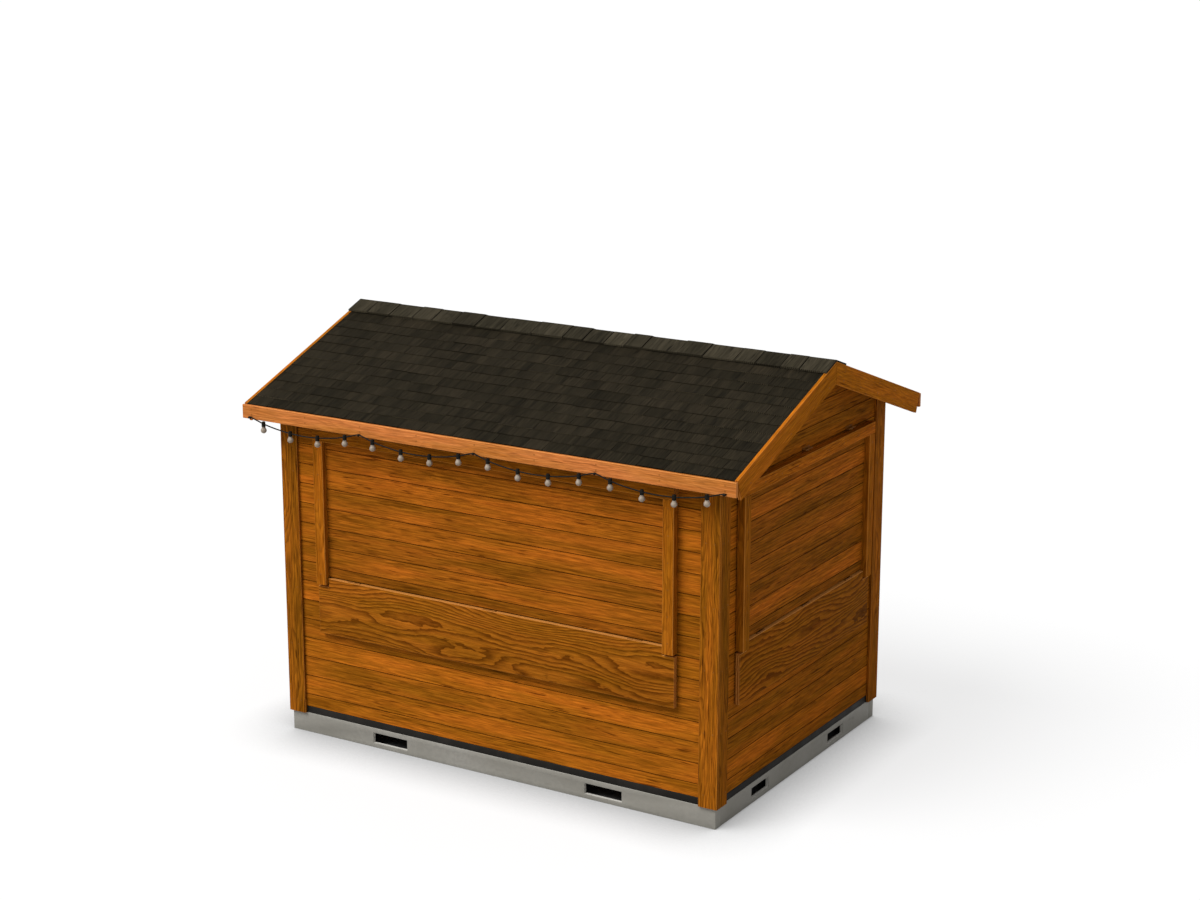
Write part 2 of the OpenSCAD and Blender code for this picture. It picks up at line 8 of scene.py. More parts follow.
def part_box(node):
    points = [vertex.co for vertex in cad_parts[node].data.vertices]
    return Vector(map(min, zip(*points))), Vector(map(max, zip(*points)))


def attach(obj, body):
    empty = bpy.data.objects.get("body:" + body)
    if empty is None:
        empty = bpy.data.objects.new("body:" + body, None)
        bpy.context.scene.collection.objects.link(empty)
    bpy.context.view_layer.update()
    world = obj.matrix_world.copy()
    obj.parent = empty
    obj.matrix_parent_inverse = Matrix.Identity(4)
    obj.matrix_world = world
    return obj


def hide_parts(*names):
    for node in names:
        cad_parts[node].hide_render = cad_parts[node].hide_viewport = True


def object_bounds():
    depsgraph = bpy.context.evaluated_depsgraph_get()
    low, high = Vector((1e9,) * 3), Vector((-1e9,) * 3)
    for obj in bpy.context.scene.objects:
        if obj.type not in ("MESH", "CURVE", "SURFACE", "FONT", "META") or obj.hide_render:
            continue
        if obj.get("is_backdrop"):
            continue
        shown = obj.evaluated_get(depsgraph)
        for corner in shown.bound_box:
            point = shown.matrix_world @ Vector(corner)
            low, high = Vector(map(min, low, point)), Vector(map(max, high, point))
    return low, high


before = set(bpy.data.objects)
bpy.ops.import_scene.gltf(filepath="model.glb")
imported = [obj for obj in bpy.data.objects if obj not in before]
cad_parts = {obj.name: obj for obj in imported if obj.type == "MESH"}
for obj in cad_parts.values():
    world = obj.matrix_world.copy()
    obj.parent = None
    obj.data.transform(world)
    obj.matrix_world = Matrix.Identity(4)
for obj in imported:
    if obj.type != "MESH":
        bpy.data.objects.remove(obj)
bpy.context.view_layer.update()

# Camera: stands about 15 m off to the front right and higher than the ridge, with a long
# lens and no roll, at the photograph's viewing angle.
AZIMUTH, ELEVATION = 31.372, 14.946
lens = bpy.data.cameras.new("camera")
lens.sensor_fit = "HORIZONTAL"
lens.sensor_width = 36
lens.lens = 72.59
lens.clip_end = 400
camera = bpy.data.objects.new("camera", lens)
camera.location = (7.436, -12.021, 5.525)
camera.rotation_euler = (math.radians(90 - ELEVATION), 0, math.radians(AZIMUTH))
bpy.context.scene.collection.objects.link(camera)
bpy.context.scene.camera = camera

# Steel base: two long channels and two cross channels with sleeved fork pockets, and tube
# bearers under the floor. Rolled steel, welded at the corners and galvanised to a dull,
# clouded grey. The pockets' lips carry a painted highlight, and painted shade further in.
CHANNEL_X, CHANNEL_Y, STEEL_EDGE = 1.484, 1.026, 0.002
SHARP = math.radians(32)


def add(tree, kind, links, **settings):
    """A shader node with its settings, and with its sockets set or linked."""
    made = tree.nodes.new(kind)
    for name, value in settings.items():
        setattr(made, name, value)
    for socket, source in links.items():
        if isinstance(source, bpy.types.NodeSocket):
            tree.links.new(source, made.inputs[socket])
        else:
            made.inputs[socket].default_value = source
    return made


def ranged(tree, value, low, high, first=0.0, last=1.0):
    """A value carried from the range low to high into the range first to last."""
    return add(tree, "ShaderNodeMapRange", {0: value, 1: low, 2: high, 3: first, 4: last}).outputs[0]


def sums(tree, kind, first, second, third=0.0):
    """A Math node on two or three values."""
    return add(tree, "ShaderNodeMath", {0: first, 1: second, 2: third}, operation=kind).outputs[0]


def clouds(tree, scale, low, high, detail=3, stretch=(1, 1, 1)):
    """A noise mask over the piece, from 0 at low to 1 at high."""
    spot = add(tree, "ShaderNodeTexCoord", {}).outputs["Object"]
    turn = add(tree, "ShaderNodeMapping", {"Vector": spot, "Scale": stretch})
    noise = add(tree, "ShaderNodeTexNoise", {"Vector": turn.outputs[0], "Scale": scale, "Detail": detail})
    return ranged(tree, noise.outputs[0], low, high)


def reach(tree, kind, limits):
    """How far a point lies from the stall's middle along X or Y, set against their limits."""
    spot = add(tree, "ShaderNodeTexCoord", {}).outputs["Object"]
    spot = add(tree, "ShaderNodeVectorMath", {0: spot}, operation="ABSOLUTE").outputs[0]
    spot = add(tree, "ShaderNodeVectorMath", {0: spot, 1: limits}, operation=kind).outputs[0]
    apart = add(tree, "ShaderNodeSeparateXYZ", {0: spot}).outputs
    return sums(tree, "MAXIMUM", apart["X"], apart["Y"])


def tint(code):
    """A linear colour from its six-digit sRGB code."""
    parts = [int(code[i:i + 2], 16) / 255 for i in (0, 2, 4)]
    return [c / 12.92 if c <= 0.04045 else ((c + 0.055) / 1.055) ** 2.4 for c in parts] + [1]


def between(tree, mask, first, second):
    """A colour that goes from the first to the second as the mask rises."""
    return add(tree, "ShaderNodeMix", {0: mask, 6: first, 7: second}, data_type="RGBA").outputs[2]


def finish(name):
    """A new material: its node tree and its Principled shader."""
    made = bpy.data.materials.new(name)
    made.use_nodes = True
    return made, made.node_tree, made.node_tree.nodes["Principled BSDF"]


def painted(tree, shader, colour, roughness):
    """Gives the shader its colour and its roughness."""
    tree.links.new(colour, shader.inputs["Base Color"])
    tree.links.new(roughness, shader.inputs["Roughness"])


def raised(tree, shader, height, depth):
    """Gives the shader a relief of this depth in metres."""
    bump = add(tree, "ShaderNodeBump", {"Height": height, "Distance": depth, "Strength": 1.0})
    tree.links.new(bump.outputs[0], shader.inputs["Normal"])


def place(bm, name, body, slot, surface, *nodes):
    """Makes the mesh a piece of the stall that rides on a body and stands for CAD nodes."""
    mesh = bpy.data.meshes.new(name)
    bm.to_mesh(mesh)
    bm.free()
    mesh.polygons.foreach_set("use_smooth", [True] * len(mesh.polygons))
    mesh.set_sharp_from_angle(angle=SHARP)
    mesh.materials.append(surface)
    made = bpy.data.objects.new(name, mesh)
    bpy.context.scene.collection.objects.link(made)
    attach(made, body)
    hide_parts(*nodes)
    return made


def softened(node, width, segments=2):
    """The solids of a CAD node as one mesh with their sharp edges rounded."""
    bm = bmesh.new()
    bm.from_mesh(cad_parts[node].data)
    bmesh.ops.remove_doubles(bm, verts=bm.verts, dist=1e-5)
    bmesh.ops.dissolve_limit(bm, angle_limit=math.radians(1), verts=bm.verts, edges=bm.edges)
    sharp = [e for e in bm.edges if e.is_manifold and e.calc_face_angle() > math.radians(30)]
    bmesh.ops.bevel(bm, geom=sharp, offset=width, offset_type="OFFSET", segments=segments,
                    profile=0.5, affect="EDGES", material=-1, clamp_overlap=True)
    return bm


galvanised, tree, shader = finish("galvanised_steel")
spangle = clouds(tree, 38, 0.35, 0.65)
drift = clouds(tree, 2.2, 0.3, 0.7, 5)
scuff = clouds(tree, 5, 0.66, 0.76, 6, (1, 1, 4))
behind = reach(tree, "SUBTRACT", (CHANNEL_X, CHANNEL_Y, 0))
# Painted highlight: the pockets' lips are coloured pale. Painted shade: further in, the pockets are coloured
# near-black.
painted_lip_highlight = ranged(tree, behind, -0.002, -0.004)
painted_pocket_shade = ranged(tree, behind, -0.024, -0.034)
grey = between(tree, spangle, tint("84817a"), tint("8f8c84"))
for mask, shade in ((drift, "7b786f"), (scuff, "6c685f"), (painted_lip_highlight, "cbc8c0"), (painted_pocket_shade, "2e2a22")):
    grey = between(tree, mask, grey, tint(shade))
painted(tree, shader, grey, ranged(tree, spangle, 0, 1, 0.48, 0.64))
shader.inputs["Metallic"].default_value = 0.25
raised(tree, shader, spangle, 0.0004)
for node, name in (("long_rails", "base_long_channels"), ("cross_rails", "base_cross_channels"),
                   ("floor_bearers", "base_bearers")):
    place(softened(node, STEEL_EDGE), name, "stall", "galvanised_steel", galvanised, node)

# Sill strips: bands of black composite between the steel and the lowest boards, which
# keep the wood off the metal. Sawn bars with lightly broken edges, dusty and matt.
SILL_EDGE = 0.003
composite, tree, shader = finish("black_strip")
dust = clouds(tree, 9, 0.45, 0.75, 6, (1, 1, 0.3))
black = between(tree, dust, tint("181613"), tint("262320"))
painted(tree, shader, black, ranged(tree, dust, 0, 1, 0.55, 0.8))
shader.inputs["Specular IOR Level"].default_value = 0.1
raised(tree, shader, clouds(tree, 240, 0.3, 0.7, 2), 0.0003)
place(softened("sill_strips", SILL_EDGE), "sill_bands", "stall", "black_strip", composite, "sill_strips")

# Floor: oiled pine boards laid along the stall and nailed to the bearers. All the woodwork
# is cut from such planks, with the grain along each one and its long edges broken.
FLOOR_BOARDS, FLOOR_SLIT, FLOOR_EDGE = 17, 0.0008, 0.0015
ALONG_X, ALONG_Y, ALONG_Z = 0, 1, 2
# Edge values: DARK makes a dark joint, and a negative value paints a broken edge pale, as wear and as a
# painted highlight.
DARK, RUBBED_AND_HIGHLIT = 1.0, -1.0
LOG = 40
SQUARE = 0.95


def timber():
    """An empty mesh for woodwork, with its UV map and the values of its boards."""
    bm = bmesh.new()
    bm.loops.layers.uv.new("grain")
    for name in ("tone", "edge", "cut"):
        bm.faces.layers.float.new(name)
    return bm


def pick(rng):
    """A board's own tone and its place on the log."""
    return rng.random(), (rng.uniform(0, LOG), rng.uniform(0, LOG))


def mark(bm, faces, along, tone, shift, edge):
    """Writes the UV map along the grain and the board's values on some faces. Broken edges
    are DARK where they make a joint, and a negative edge value paints them pale, as wear
    and as a painted highlight."""
    across = [i for i in range(3) if i != along]
    uv = bm.loops.layers.uv["grain"]
    values = bm.faces.layers.float
    for face in faces:
        face.normal_update()
        ahead = [abs(n) for n in face.normal]
        is_end = ahead[along] > SQUARE
        face[values["tone"]] = tone
        face[values["edge"]] = edge if max(ahead) < SQUARE else 0.0
        face[values["cut"]] = 1.0 if is_end else 0.0
        for loop in face.loops:
            co = loop.vert.co
            if is_end:
                loop[uv].uv = (co[across[0]] + shift[0], co[across[1]] + shift[1])
            else:
                loop[uv].uv = (co[along] + shift[0], co[across[0]] + co[across[1]] + shift[1])


def plank(bm, low, high, along, chamfer, tone, shift, edge=DARK):
    """A board between two corners with its long edges broken. Its UV map runs along the
    grain in metres, and its faces carry the board's tone, its edges and its cut ends."""
    old = set(bm.faces)
    low, high = Vector(low), Vector(high)
    verts = bmesh.ops.create_cube(bm, size=1)["verts"]
    bmesh.ops.scale(bm, vec=high - low, verts=verts)
    bmesh.ops.translate(bm, vec=(low + high) / 2, verts=verts)
    if chamfer:
        edges = dict.fromkeys(e for v in verts for e in v.link_edges)
        long_edges = [e for e in edges if abs(e.verts[0].co[along] - e.verts[1].co[along]) > 1e-6]
        bmesh.ops.bevel(bm, geom=long_edges, offset=chamfer, offset_type="OFFSET", segments=1,
                        profile=0.5, affect="EDGES", material=-1)
    made = [f for f in bm.faces if f not in old]
    mark(bm, made, along, tone, shift, edge)
    return made


# Grain of sawn and oiled softwood on a UV map in metres: long streaks, fine fibre, the
# contour lines of a flat-sawn log, short resin dashes, dark joint edges, edges painted pale
# as wear and as a painted highlight, and cut ends
grain = bpy.data.node_groups.new("wood_grain", "ShaderNodeTree")
for name, kind, value in (
        ("Vector", "NodeSocketVector", (0, 0, 0)), ("Tone", "NodeSocketFloat", 0.5),
        ("Edge", "NodeSocketFloat", 0), ("Cut", "NodeSocketFloat", 0),
        ("Pale", "NodeSocketColor", (0.5, 0.2, 0.05, 1)), ("Body", "NodeSocketColor", (0.3, 0.1, 0.02, 1)),
        ("Dark", "NodeSocketColor", (0.1, 0.03, 0.01, 1)), ("Ends", "NodeSocketColor", (0.5, 0.2, 0.05, 1)),
        ("Figure", "NodeSocketFloat", 0.3), ("Figure Size", "NodeSocketFloat", 1),
        ("Dashes", "NodeSocketFloat", 0.6), ("Variety", "NodeSocketFloat", 0.15)):
    grain.interface.new_socket(name, in_out="INPUT", socket_type=kind).default_value = value
for name, kind in (("Color", "NodeSocketColor"), ("Roughness", "NodeSocketFloat"),
                   ("Height", "NodeSocketFloat")):
    grain.interface.new_socket(name, in_out="OUTPUT", socket_type=kind)
given = grain.nodes.new("NodeGroupInput").outputs


def field(scale, low, high, detail=3):
    """A noise stretched along the grain, from 0 at low to 1 at high."""
    turn = add(grain, "ShaderNodeMapping", {"Vector": given["Vector"], "Scale": (scale[0], scale[1], 1)})
    noise = add(grain, "ShaderNodeTexNoise", {"Vector": turn.outputs[0], "Scale": 1.0, "Detail": detail})
    return ranged(grain, noise.outputs[0], low, high)


def scaled(vector, factor):
    """A colour or a place on the log times a factor."""
    return add(grain, "ShaderNodeVectorMath", {0: vector, "Scale": factor}, operation="SCALE").outputs[0]


streak = field((3.2, 105), 0.39, 0.61, 4)
patch = field((1.4, 12), 0.36, 0.64, 2)
fibre = field((16, 640), 0.3, 0.7, 2)
stroke = field((10, 125), 0.34, 0.66, 2)
dash = sums(grain, "MULTIPLY", field((6.5, 95), 0.62, 0.69, 1), field((0.9, 5), 0.38, 0.56, 2))
sized = scaled(given["Vector"], given["Figure Size"])
sideways = add(grain, "ShaderNodeSeparateXYZ", {0: sized}).outputs["Y"]
bend = add(grain, "ShaderNodeMapping", {"Vector": sized, "Scale": (1.1, 4.6, 1)})
hill = add(grain, "ShaderNodeTexNoise", {"Vector": bend.outputs[0], "Scale": 1.0, "Detail": 1.3,
                                         "Roughness": 0.42})
depth = sums(grain, "MULTIPLY_ADD", hill.outputs[0], 12.5, sums(grain, "MULTIPLY", sideways, 34.0))
depth = sums(grain, "MULTIPLY_ADD", field((11, 38), 0.0, 1.0, 2), 0.9, depth)
ring = sums(grain, "FRACT", depth, 0.0)
line = sums(grain, "MULTIPLY", ranged(grain, ring, 0.30, 0.90), ranged(grain, ring, 1.0, 0.93))
line = sums(grain, "MULTIPLY", line, given["Figure"])

shade = sums(grain, "MULTIPLY_ADD", streak, 0.56, sums(grain, "MULTIPLY", patch, 0.50))
colour = between(grain, shade, given["Body"], given["Pale"])
colour = between(grain, line, colour, given["Dark"])
colour = between(grain, sums(grain, "MULTIPLY", dash, given["Dashes"]), colour, given["Dark"])
own = sums(grain, "MULTIPLY", sums(grain, "MULTIPLY_ADD", given["Tone"], 2.0, -1.0), given["Variety"])
lift = sums(grain, "MULTIPLY_ADD", fibre, 0.24, sums(grain, "MULTIPLY_ADD", stroke, 0.38, 0.66))
lift = sums(grain, "MULTIPLY", lift, sums(grain, "ADD", own, 1.0))
warm = sums(grain, "MULTIPLY_ADD", patch, 0.65, sums(grain, "MULTIPLY", given["Tone"], 0.35))
warm = ranged(grain, warm, 0, 1, 0.5070, 0.4940)
colour = add(grain, "ShaderNodeHueSaturation", {"Hue": warm, "Color": scaled(colour, lift)}).outputs[0]
sooty = scaled(given["Dark"], 0.3)
colour = between(grain, sums(grain, "MULTIPLY", given["Edge"], 0.72), colour, sooty)
# A negative Edge paints the edge in the Ends colour, as wear and as a painted highlight
colour = between(grain, sums(grain, "MULTIPLY", given["Edge"], -0.7), colour, given["Ends"])
sawn = add(grain, "ShaderNodeTexWave", {"Vector": given["Vector"], "Scale": 26.0, "Distortion": 3.0})
ends = between(grain, sawn.outputs["Fac"], given["Body"], given["Ends"])
ends = scaled(ends, sums(grain, "MULTIPLY_ADD", own, 2.0, 1.0))
colour = between(grain, given["Cut"], colour, ends)
rough = ranged(grain, fibre, 0, 1, 0.56, 0.74)
height = sums(grain, "ADD", sums(grain, "MULTIPLY", fibre, 0.35), sums(grain, "MULTIPLY", streak, 0.35))
height = sums(grain, "SUBTRACT", height, sums(grain, "MULTIPLY", line, 0.4))
height = sums(grain, "SUBTRACT", height, sums(grain, "MULTIPLY", dash, 0.3))
add(grain, "NodeGroupOutput", {"Color": colour, "Roughness": rough, "Height": height})


def wood(name, pale, body, dark, ends, figure, size=1.0, dashes=0.6, variety=0.15):
    """A wood finish with its own colours and figure."""
    made, tree, shader = finish(name)
    links = {"Vector": add(tree, "ShaderNodeUVMap", {}).outputs[0], "Pale": tint(pale), "Body": tint(body),
             "Dark": tint(dark), "Ends": tint(ends), "Figure": figure, "Figure Size": size,
             "Dashes": dashes, "Variety": variety}
    for value in ("tone", "edge", "cut"):
        links[value.title()] = add(tree, "ShaderNodeAttribute", {}, attribute_name=value).outputs["Fac"]
    grown = add(tree, "ShaderNodeGroup", links, node_tree=grain).outputs
    painted(tree, shader, grown["Color"], grown["Roughness"])
    shader.inputs["Specular IOR Level"].default_value = 0.01
    raised(tree, shader, grown["Height"], 0.0008)
    return made


floor_wood = wood("floor_wood", "a06520", "77460e", "3c1d04", "a46c28", 0.15)
rng = random.Random(3)
low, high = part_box("floor")
step = (high[1] - low[1]) / FLOOR_BOARDS
bm = timber()
for i in range(FLOOR_BOARDS):
    y = low[1] + i * step
    plank(bm, (low[0], y + FLOOR_SLIT, low[2]), (high[0], y + step - FLOOR_SLIT, high[2]), ALONG_X,
          FLOOR_EDGE, *pick(rng))
place(bm, "floor_boards", "stall", "floor_wood", floor_wood, "floor")

# Walls: tongued boards 44 mm thick, stacked on the sill strips in courses of 122 mm,
# with broken edges that leave a dark groove at each joint, inside and out. Boards run
# past the openings, and the gables are sawn off along the roof's slope.
wall_wood = wood("wall_wood", "b16617", "784108", "451b01", "b06c28", 0.12, 1.0, 0.7, 0.20)
FACE_X, FACE_Y, INNER_Y, TRIM_Y = 1.482, 1.024, 0.980, 1.042
WALL_LOW, WALL_TOP, WALL_THICK = 0.167, 2.088, 0.044
OPEN_HALF = {"front": 1.196, "rear": 0.673, "right": 0.789}
OPEN_LOW, OPEN_TOP = 1.036, 1.919
DOOR_HALF, DOOR_TOP = 0.36, 1.930
COURSE, FIRST_JOINT, NARROWEST = 0.12235, 0.248, 0.012
SLIT, GROOVE = 0.0007, 0.0021
TONGUE_FRONT, TONGUE_BACK, TONGUE_REACH = 0.014, 0.030, 0.006
SLOPE = math.radians(19.8)
on_wall = {"front": Matrix.Translation((0, -FACE_Y, 0)),
           "rear": Matrix.Translation((0, FACE_Y, 0)) @ Matrix.Rotation(math.pi, 4, "Z"),
           "right": Matrix.Translation((FACE_X, 0, 0)) @ Matrix.Rotation(math.pi / 2, 4, "Z"),
           "left": Matrix.Translation((-FACE_X, 0, 0)) @ Matrix.Rotation(-math.pi / 2, 4, "Z")}


def turned(bm, spot, old=()):
    """Moves what is new in a mesh from where it was drawn to its place on the stall."""
    bmesh.ops.transform(bm, matrix=spot, verts=[v for v in bm.verts if v not in old])
    return bm


def courses(low, high, first):
    """The lower and upper edges of the boards between two heights."""
    joints = [low]
    z = first
    while z < high - NARROWEST:
        if z > low + NARROWEST:
            joints.append(z)
        z += COURSE
    return list(zip(joints, joints[1:] + [high]))


def tongue(bm, low, high, tone, shift):
    """A tongue in the joint over a board, dark all over."""
    for face in plank(bm, low, high, ALONG_X, 0, tone, shift):
        face[bm.faces.layers.float["edge"]] = DARK


def boarding(half, top, open_half, open_low, open_top, rng):
    """A wall of boards round an opening, drawn with its outer face on the XZ plane."""
    bm = timber()
    for z0, z1 in courses(WALL_LOW, top, FIRST_JOINT):
        tone, shift = pick(rng)
        pieces = [(-half, half, z0, z1)]
        if z1 > open_low and z0 < open_top:
            pieces = [(-half, -open_half, z0, z1), (open_half, half, z0, z1)]
            if z0 < open_low:
                pieces.append((-open_half, open_half, z0, open_low + SLIT))
            if z1 > open_top:
                pieces.append((-open_half, open_half, open_top - SLIT, z1))
        for x0, x1, low, high in pieces:
            plank(bm, (x0, 0, low + SLIT), (x1, WALL_THICK, high - SLIT), ALONG_X, GROOVE, tone, shift)
        for x0, x1, low, high in pieces:
            if high == z1 and z1 < top:
                tongue(bm, (x0, TONGUE_FRONT, z1 - TONGUE_REACH), (x1, TONGUE_BACK, z1 + TONGUE_REACH),
                       tone, shift)
    return bm


def sawn_off(bm, old, point, normal):
    """Saws the new boards off along a plane and closes their cut ends."""
    verts = [v for v in bm.verts if v not in old]
    edges = list(dict.fromkeys(e for v in verts for e in v.link_edges))
    faces = list(dict.fromkeys(f for v in verts for f in v.link_faces))
    cut = bmesh.ops.bisect_plane(bm, geom=verts + edges + faces, dist=1e-6, plane_co=point,
                                 plane_no=normal, clear_outer=True)["geom_cut"]
    edges = [e for e in cut if isinstance(e, bmesh.types.BMEdge)]
    ends = bmesh.ops.holes_fill(bm, edges=edges, sides=0)["faces"]
    uv = bm.loops.layers.uv["grain"]
    for face in ends:
        face[bm.faces.layers.float["cut"]] = 1.0
        for loop in face.loops:
            loop[uv].uv = (loop.vert.co.y, loop.vert.co.x)


def gable_wall(open_half, open_low, open_top, rng):
    """A wall of boards that rises to the ridge."""
    peak = WALL_TOP + math.tan(SLOPE) * TRIM_Y
    bm = boarding(INNER_Y, peak, open_half, open_low, open_top, rng)
    for side in (-1, 1):
        sawn_off(bm, (), (side * TRIM_Y, 0, WALL_TOP), (side * math.sin(SLOPE), 0, math.cos(SLOPE)))
    return bm


for side, seed in (("front", 11), ("rear", 12)):
    bm = boarding(FACE_X, WALL_TOP, OPEN_HALF[side], OPEN_LOW, OPEN_TOP, random.Random(seed))
    place(turned(bm, on_wall[side]), side + "_wall", "stall", "wall_wood", wall_wood,
          side + "_wall_sides", side + "_wall_below", side + "_wall_above")
bm = gable_wall(OPEN_HALF["right"], OPEN_LOW, OPEN_TOP, random.Random(13))
place(turned(bm, on_wall["right"]), "right_wall", "stall", "wall_wood", wall_wood, "right_wall_sides",
      "right_wall_below", "right_gable")
bm = gable_wall(DOOR_HALF, 0.0, DOOR_TOP, random.Random(14))
place(turned(bm, on_wall["left"]), "left_wall", "stall", "wall_wood", wall_wood, "left_wall_sides",
      "left_gable")

# Corner trims and top rails: planed boards over the ends of the wall boards, two to a
# corner, and a rail along the top of the front and rear walls. Screwed on from outside.
trim_wood = wood("trim_wood", "ac6516", "6e3c07", "3c1801", "b87430", 0.46, 1.6, 0.9)
TRIM_X, TRIM_WIDTH, TRIM_LOW, TRIM_EDGE = 1.5, 0.12, 0.124, 0.002
RAIL_X, RAIL_LOW = 1.3797, 1.988
BUTT = 0.0002
rng = random.Random(21)
bm = timber()
for sx in (-1, 1):
    for sy in (-1, 1):
        for a, b in (((TRIM_X - TRIM_WIDTH, FACE_Y), (TRIM_X, TRIM_Y)),
                     ((FACE_X, TRIM_Y - TRIM_WIDTH), (TRIM_X, FACE_Y - BUTT))):
            xs, ys = sorted((sx * a[0], sx * b[0])), sorted((sy * a[1], sy * b[1]))
            plank(bm, (xs[0], ys[0], TRIM_LOW), (xs[1], ys[1], WALL_TOP), ALONG_Z, TRIM_EDGE,
                  *pick(rng), RUBBED_AND_HIGHLIT)
place(bm, "corner_trims", "stall", "wall_wood", trim_wood, "corner_posts")
bm = timber()
for y0, y1 in ((-TRIM_Y, -FACE_Y), (FACE_Y, TRIM_Y)):
    plank(bm, (-RAIL_X, y0, RAIL_LOW), (RAIL_X, y1, WALL_TOP), ALONG_X, TRIM_EDGE, *pick(rng), RUBBED_AND_HIGHLIT)
place(bm, "wall_top_rails", "stall", "wall_wood", trim_wood, "top_rails")

# Hatches: boards in the same courses as the wall, held between the stiles of a frame on
# the wall's face. A head board runs over the stiles, and the rear hatch has a bottom
# rail too. Glued and screwed.
frame_wood = wood("frame_wood", "b06717", "854608", "4a1f01", "c07c34", 0.30, 1.5)
hatch_wood = wood("hatch_wood", "aa6117", "6b3907", "431a01", "b06c28", 0.14, 1.1, 0.75, 0.22)
HATCH_HALF = {"front": 1.232, "right": 0.825, "rear": 0.709}
HATCH_TOP, HATCH_OFF, HATCH_JOINT, HATCH_TONGUE = 1.955, 0.005, 1.0995, 0.005
STILE, FRAME_THICK, FRAME_EDGE, PLAY = 0.070, 0.050, 0.003, 0.0005
BOARD_THICK, BOARD_PROUD = 0.027, 0.014


def hatch_boards(half, back, low, rng):
    """The boards of a hatch between its stiles, drawn on the wall's outer face."""
    bm = timber()
    half -= STILE + PLAY
    front, high = back - BOARD_PROUD, HATCH_TOP - STILE - PLAY
    for z0, z1 in courses(low, high, HATCH_JOINT):
        tone, shift = pick(rng)
        plank(bm, (-half, front, z0 + SLIT), (half, front + BOARD_THICK, z1 - SLIT), ALONG_X, GROOVE,
              tone, shift)
        if z1 < high:
            tongue(bm, (-half, front + BOARD_THICK / 3, z1 - HATCH_TONGUE),
                   (half, front + BOARD_THICK * 2 / 3, z1 + HATCH_TONGUE), tone, shift)
    return bm


def hatch_frame(half, back, low, bottom, rng):
    """The stiles, the head board over them and, where asked, a bottom rail."""
    bm = timber()
    front, head = back - FRAME_THICK, HATCH_TOP - STILE
    plank(bm, (-half, front, head), (half, back, HATCH_TOP), ALONG_X, FRAME_EDGE, *pick(rng), RUBBED_AND_HIGHLIT)
    for x0 in (-half, half - STILE):
        plank(bm, (x0, front, low), (x0 + STILE, back, head - PLAY), ALONG_Z, FRAME_EDGE,
              *pick(rng), RUBBED_AND_HIGHLIT)
    if bottom:
        inner = half - STILE - PLAY
        plank(bm, (-inner, front, low), (inner, back, low + STILE), ALONG_X, FRAME_EDGE,
              *pick(rng), RUBBED_AND_HIGHLIT)
    return bm


for side, body, back, board_low, seed in (("front", "front_hatch", -HATCH_OFF, 1.0398, 31),
                                          ("right", "right_hatch", -HATCH_OFF, 1.0398, 32),
                                          ("rear", "stall", 0.0, 1.0705, 33)):
    rng = random.Random(seed)
    bm = turned(hatch_boards(HATCH_HALF[side], back, board_low, rng), on_wall[side])
    place(bm, side + "_hatch_panel", body, "wall_wood", hatch_wood, side + "_hatch_boards")
    frame_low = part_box(side + "_hatch_frame")[0][2]
    bm = turned(hatch_frame(HATCH_HALF[side], back, frame_low, side == "rear", rng), on_wall[side])
    place(bm, side + "_hatch_trim", body, "frame_wood", frame_wood, side + "_hatch_frame")

# Counters: one wide board each, rotary-cut so that the grain draws islands and long
# contours, with a tongue that stands between the stiles. Housed at the back for hinges.
counter_wood = wood("counter_wood", "9e5e16", "81470a", "482001", "bf8040", 0.78, 1.0, 0.2)
COUNTER_LOW, SHOULDER, COUNTER_TOP, HOUSING = 0.680, 0.980, 1.034, 1.0185
COUNTER_FRONT, HOUSED, COUNTER_BACK, NOSING = -0.036, -0.0325, -0.006, 0.0034
TONGUE_INSET, HINGE_INSET, HINGE_HALF = 0.076, 0.260, 0.0465


def outline(half, inner, notches):
    """The corners of a counter from its lower left, anticlockwise seen from outside."""
    corners = [(-half, COUNTER_LOW), (half, COUNTER_LOW), (half, SHOULDER), (inner, SHOULDER),
               (inner, COUNTER_TOP)]
    for x in sorted(notches, reverse=True):
        corners += [(x + HINGE_HALF, COUNTER_TOP), (x + HINGE_HALF, HOUSING),
                    (x - HINGE_HALF, HOUSING), (x - HINGE_HALF, COUNTER_TOP)]
    return corners + [(-inner, COUNTER_TOP), (-inner, SHOULDER), (-half, SHOULDER)]


def slab(bm, corners, front, back, rounding):
    """An outline on a plane given thickness towards the wall, its front edge rounded."""
    ring = [bm.verts.new((x, front, z)) for x, z in corners]
    face = bm.faces.new(ring)
    made = bmesh.ops.extrude_face_region(bm, geom=[face], use_keep_orig=True)["geom"]
    moved = [v for v in made if isinstance(v, bmesh.types.BMVert)]
    bmesh.ops.translate(bm, vec=(0, back - front, 0), verts=moved)
    bmesh.ops.recalc_face_normals(bm, faces=bm.faces)
    if rounding:
        bmesh.ops.bevel(bm, geom=list(face.edges), offset=rounding, offset_type="OFFSET", segments=2,
                        profile=0.5, affect="EDGES", material=-1)


for side, top_highlight, seed in (("front", -1.0, 41), ("right", -1.4, 42)):
    half = HATCH_HALF[side]
    bm = timber()
    slab(bm, outline(half, half - TONGUE_INSET, []), COUNTER_FRONT, HOUSED, NOSING)
    slab(bm, outline(half, half - TONGUE_INSET, [HINGE_INSET - half, 0, half - HINGE_INSET]),
         HOUSED - 0.0001, COUNTER_BACK, 0)
    shift = pick(random.Random(seed))[1]
    # Every rounded edge is faintly pale, as wear and as a painted highlight. Faces that look upwards get a
    # stronger painted highlight in the Ends colour, stronger still on the shaded right side.
    mark(bm, bm.faces[:], ALONG_X, 0.5, shift, -0.3)
    for face in bm.faces:
        if face.normal.z > 0.3:
            face[bm.faces.layers.float["edge"]] = top_highlight
    place(turned(bm, on_wall[side]), side + "_counter_board", side + "_counter", "counter_wood",
          counter_wood, side + "_counter_leaf")

